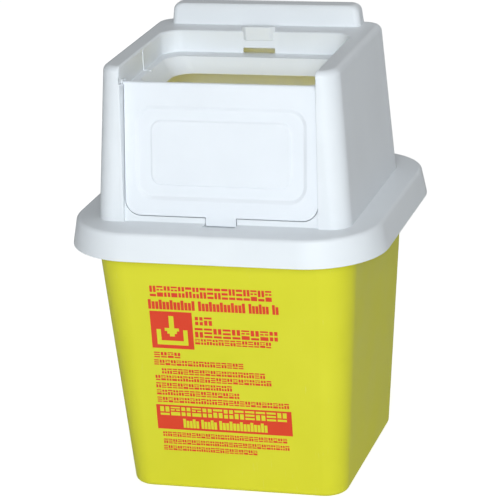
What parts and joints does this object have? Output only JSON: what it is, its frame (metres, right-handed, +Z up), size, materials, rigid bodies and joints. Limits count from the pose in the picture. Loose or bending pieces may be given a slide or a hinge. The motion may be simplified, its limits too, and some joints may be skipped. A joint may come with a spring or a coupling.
{
  "type": "sharps container",
  "caption": "Tapered square yellow sharps tub with a white press-on hopper lid and a hinged cover that swings over onto the mouth.",
  "frame": {"origin": "centre of the tub's base, on the surface the container stands on", "axes": "+Z up, -Y towards the front that carries the hanging cover, +X to the right as seen from the front"},
  "size_m": [0.2, 0.2, 0.2866],
  "materials": {
    "tub_plastic": "smooth moulded polypropylene, semi-gloss, red print on the front",
    "lid_plastic": "smooth moulded white polypropylene, semi-gloss",
    "cover_plastic": "smooth moulded white polypropylene, semi-gloss",
    "seal_foam": "matt closed-cell foam"
  },
  "bodies": {
    "container": {"container_body": "tub_plastic"},
    "lid": {"lid_hopper": "lid_plastic", "lid_seal": "seal_foam"},
    "cover": {"cover_flap": "cover_plastic"}
  },
  "joints": [
    {"name": "lid_lift", "type": "slide", "parent": "container", "child": "lid", "axis": [0, 0, 1], "range_m": [0, 0.06]},
    {"name": "cover_hinge", "type": "hinge", "parent": "lid", "child": "cover", "pos_m": [0, -0.0581, 0.261], "axis": [-1, 0, 0], "range_deg": [0, 261.4]}
  ]
}
